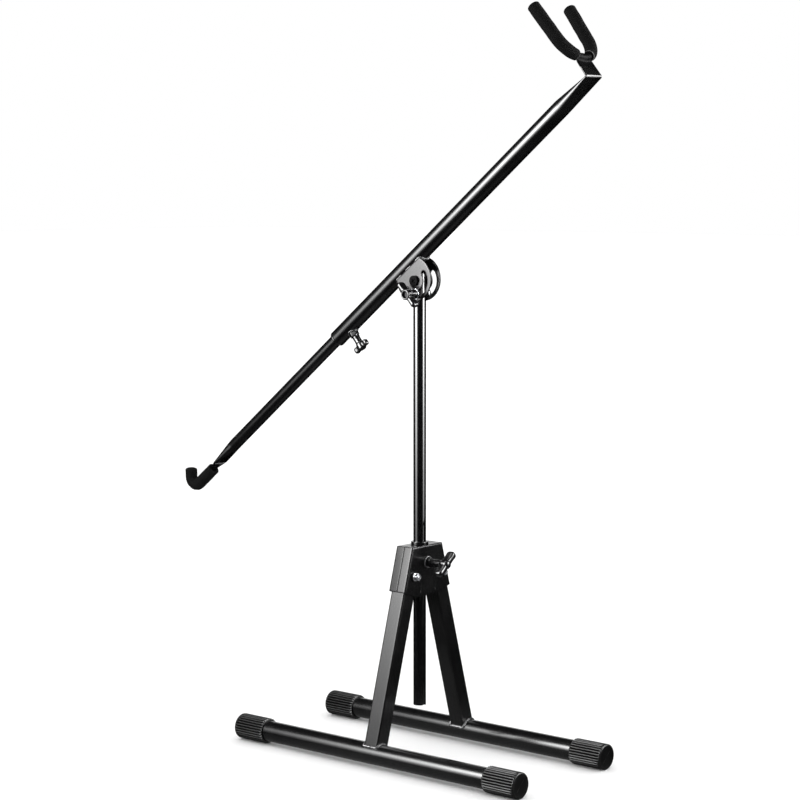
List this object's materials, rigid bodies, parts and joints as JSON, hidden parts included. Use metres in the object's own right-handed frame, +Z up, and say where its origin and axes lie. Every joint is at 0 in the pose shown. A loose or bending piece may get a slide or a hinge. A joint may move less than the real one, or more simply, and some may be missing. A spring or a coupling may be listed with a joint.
{
  "type": "saxophone stand",
  "caption": "Black tubular instrument stand: H-shaped foot-bar base, clamped mast, tilting telescopic boom with padded yoke and padded lower hook.",
  "frame": {"origin": "on the floor directly under the mast's axis", "axes": "+X along the foot bars towards the mast's clamp knob and the yoke, +Y across the stand from the near foot bar to the far one, +Z up"},
  "size_m": [0.8159, 0.2462, 1.11],
  "materials": {
    "powder_coat": "satin black powder coat",
    "plastic": "fine-grained black moulded plastic",
    "rubber": "matte ribbed black rubber",
    "foam": "fine-celled black foam",
    "black_oxide": "blackened steel",
    "zinc": "bright zinc plate"
  },
  "bodies": {
    "base": {"front_shell": "powder_coat", "rear_shell": "powder_coat", "guide_tube": "powder_coat", "top_bushing": "plastic", "bottom_bushing": "plastic", "mast_weld_nut": "powder_coat", "leg_pivot_sleeves": "zinc", "leg_pivot_bolts": "zinc", "leg_pivot_spacers": "plastic", "leg_pivot_nuts": "zinc"},
    "near_leg_body": {"near_leg": "powder_coat", "near_foot_bar": "powder_coat", "near_foot_caps": "rubber"},
    "far_leg_body": {"far_leg": "powder_coat", "far_foot_bar": "powder_coat", "far_foot_caps": "rubber"},
    "mast": {"mast_tube": "powder_coat", "mast_top_plug": "plastic", "tilt_pivot_bolt": "black_oxide", "tilt_pivot_nut": "black_oxide", "tilt_clamp_bolt": "black_oxide", "tilt_washers": "zinc"},
    "boom": {"boom_tube": "powder_coat", "tilt_bracket": "powder_coat", "boom_bushing": "plastic", "boom_weld_nut": "powder_coat", "yoke_rod": "powder_coat", "near_yoke_sleeve": "foam", "far_yoke_sleeve": "foam"},
    "inner": {"inner_tube": "powder_coat", "inner_glide": "plastic", "hook_rod": "powder_coat", "hook_sleeve": "foam"},
    "mast_screw_body": {"mast_screw": "zinc"},
    "mast_knob_body": {"mast_knob": "plastic"},
    "boom_screw_body": {"boom_screw": "zinc"},
    "boom_knob_body": {"boom_knob": "plastic"},
    "tilt_insert_body": {"tilt_insert": "zinc"},
    "tilt_knob_body": {"tilt_knob": "plastic"}
  },
  "joints": [
    {"name": "near_leg_fold", "type": "hinge", "parent": "base", "child": "near_leg_body", "pos_m": [0, -0.03119, 0.2775], "axis": [1, 0, 0], "range_deg": [0, 15.7]},
    {"name": "far_leg_fold", "type": "hinge", "parent": "base", "child": "far_leg_body", "pos_m": [0, 0.03119, 0.2775], "axis": [-1, 0, 0], "range_deg": [0, 15.7]},
    {"name": "mast_height", "type": "slide", "parent": "base", "child": "mast", "axis": [0, 0, 1], "range_m": [-0.045, 0.15]},
    {"name": "boom_tilt", "type": "hinge", "parent": "mast", "child": "boom", "pos_m": [0, 0, 0.7165], "axis": [0, -1, 0], "range_deg": [-112.8, 31.2]},
    {"name": "inner_extend", "type": "slide", "parent": "boom", "child": "inner", "axis": [-0.7793, 0, -0.6266], "range_m": [-0.25, 0.06]},
    {"name": "mast_knob_advance", "type": "slide", "parent": "base", "child": "mast_screw_body", "axis": [1, 0, 0], "range_m": [0, 0.0025]},
    {"name": "mast_knob_turn", "type": "hinge", "parent": "mast_screw_body", "child": "mast_knob_body", "pos_m": [0.04, 0, 0.296], "axis": [1, 0, 0], "range_deg": [0, 721]},
    {"name": "boom_knob_advance", "type": "slide", "parent": "boom", "child": "boom_screw_body", "axis": [0.6266, 0, -0.7793], "range_m": [0, 0.0025]},
    {"name": "boom_knob_turn", "type": "hinge", "parent": "boom_screw_body", "child": "boom_knob_body", "pos_m": [-0.12092, 0, 0.61953], "axis": [0.6266, 0, -0.7793], "range_deg": [0, 721]},
    {"name": "tilt_knob_advance", "type": "slide", "parent": "mast", "child": "tilt_insert_body", "axis": [0, -1, 0], "range_m": [0, 0.0025]},
    {"name": "tilt_knob_turn", "type": "hinge", "parent": "tilt_insert_body", "child": "tilt_knob_body", "pos_m": [0, -0.02, 0.6965], "axis": [0, -1, 0], "range_deg": [0, 721]}
  ],
  "couplings": [
    {"joint": "mast_knob_turn", "follows": "mast_knob_advance", "rad_per_m": 5026.5},
    {"joint": "boom_knob_turn", "follows": "boom_knob_advance", "rad_per_m": 5026.5},
    {"joint": "tilt_knob_turn", "follows": "tilt_knob_advance", "rad_per_m": 5026.5}
  ]
}
